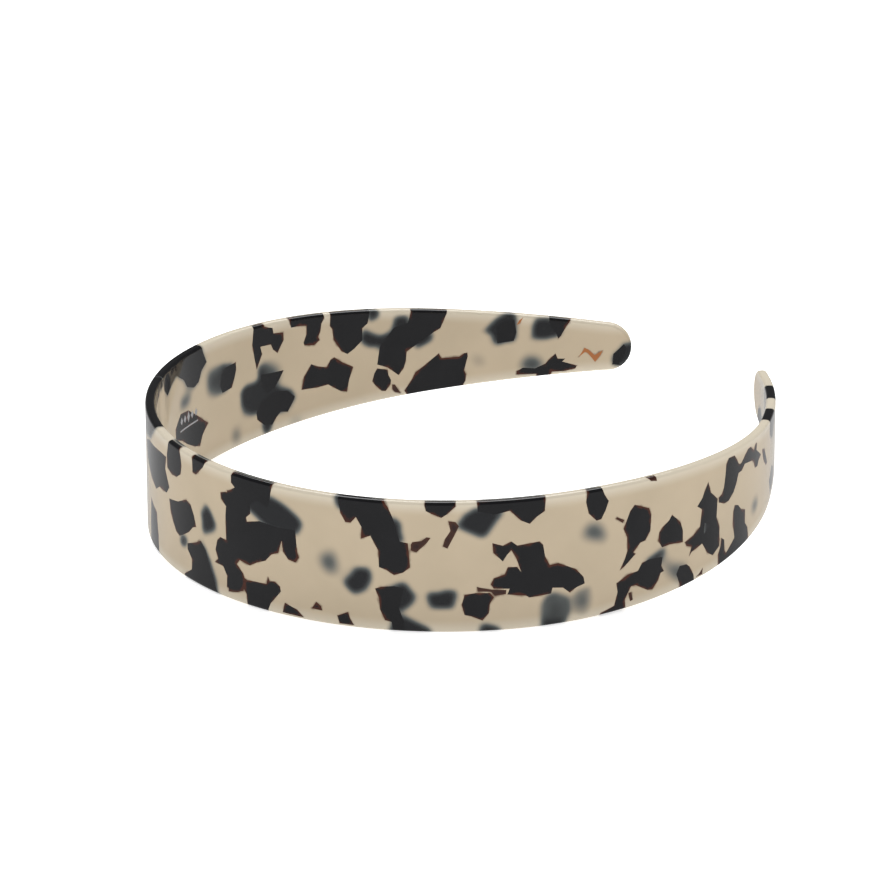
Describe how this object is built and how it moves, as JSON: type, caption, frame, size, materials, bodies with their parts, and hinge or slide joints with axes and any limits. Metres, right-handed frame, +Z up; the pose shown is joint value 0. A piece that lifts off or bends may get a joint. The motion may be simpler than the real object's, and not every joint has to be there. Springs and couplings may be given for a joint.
{
  "type": "headband",
  "caption": "Wide C-shaped hair band of polished cream acetate with dark tortoiseshell chips, tapering to round tips, that springs open over the head.",
  "frame": {"origin": "centre of the band's bounding box at the long edge it stands on", "axes": "+X from the crown to the mouth between the tips, +Y to the left arm, +Z up across the band's width"},
  "size_m": [0.1418, 0.1274, 0.028],
  "materials": {
    "cream_acetate": "cream cellulose acetate, tumbled and polished",
    "dark_acetate": "near-black cellulose acetate chips, polished with the band",
    "amber_acetate": "brown amber cellulose acetate slivers, polished with the band",
    "pressed_foil": "bright silver hot-stamped foil"
  },
  "bodies": {
    "right_half": {"right_amber_slivers": "amber_acetate", "right_arm_inner": "dark_acetate", "right_arm_outer": "dark_acetate", "right_cream_band": "cream_acetate", "right_crown_inner": "dark_acetate", "right_crown_outer": "dark_acetate", "right_shoulder_inner": "dark_acetate", "right_shoulder_outer": "dark_acetate", "right_side_inner": "dark_acetate", "right_side_outer": "dark_acetate", "right_temple_inner": "dark_acetate", "right_temple_outer": "dark_acetate", "right_tip_outer": "dark_acetate", "right_tip_through": "dark_acetate"},
    "left_half": {"foil_ornament": "pressed_foil", "left_amber_slivers": "amber_acetate", "left_arm_inner": "dark_acetate", "left_arm_outer": "dark_acetate", "left_cream_band": "cream_acetate", "left_crown_inner": "dark_acetate", "left_crown_outer": "dark_acetate", "left_shoulder_inner": "dark_acetate", "left_shoulder_outer": "dark_acetate", "left_shoulder_through": "dark_acetate", "left_side_inner": "dark_acetate", "left_side_outer": "dark_acetate", "left_temple_inner": "dark_acetate", "left_temple_outer": "dark_acetate", "left_tip_inner": "dark_acetate", "left_tip_outer": "dark_acetate", "left_tip_through": "dark_acetate"}
  },
  "joints": [
    {"name": "spread_spring", "type": "hinge", "parent": "right_half", "child": "left_half", "pos_m": [-0.06987, 0, 0.014], "axis": [0, 0, 1], "range_deg": [-5, 18], "stiffness_Nm_per_rad": 0.3}
  ]
}
